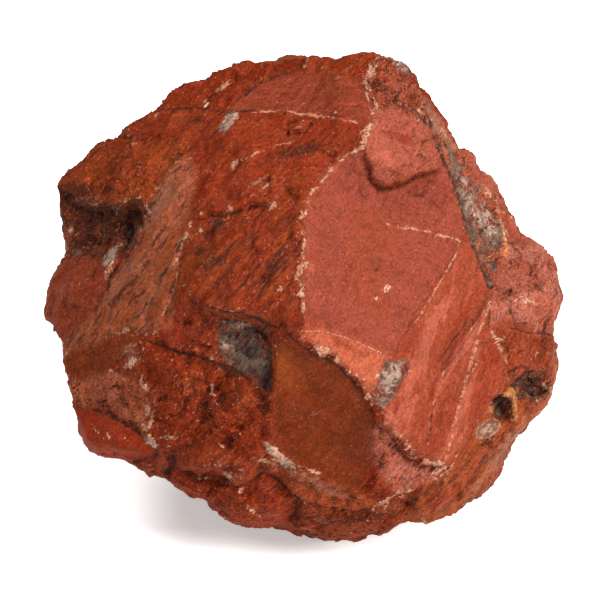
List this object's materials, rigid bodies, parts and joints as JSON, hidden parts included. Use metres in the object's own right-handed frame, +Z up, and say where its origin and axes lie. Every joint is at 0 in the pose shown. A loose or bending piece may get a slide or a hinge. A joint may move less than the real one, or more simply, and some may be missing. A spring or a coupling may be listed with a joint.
{
  "type": "red jasper rock",
  "caption": "Rough, angular chunk of red jasper, a natural broken stone with fracture faces, ridges, ledges and pits, lying on a small flat spot.",
  "frame": {"origin": "on the floor, under the middle of the stone's bounding box", "axes": "+Z up; -Y is the side the picture was taken from; +X to the right in it"},
  "size_m": [0.0716, 0.0478, 0.0645],
  "materials": {
    "red_jasper": "satin"
  },
  "bodies": {
    "root": {"jasper_stone": "red_jasper"}
  },
  "joints": []
}
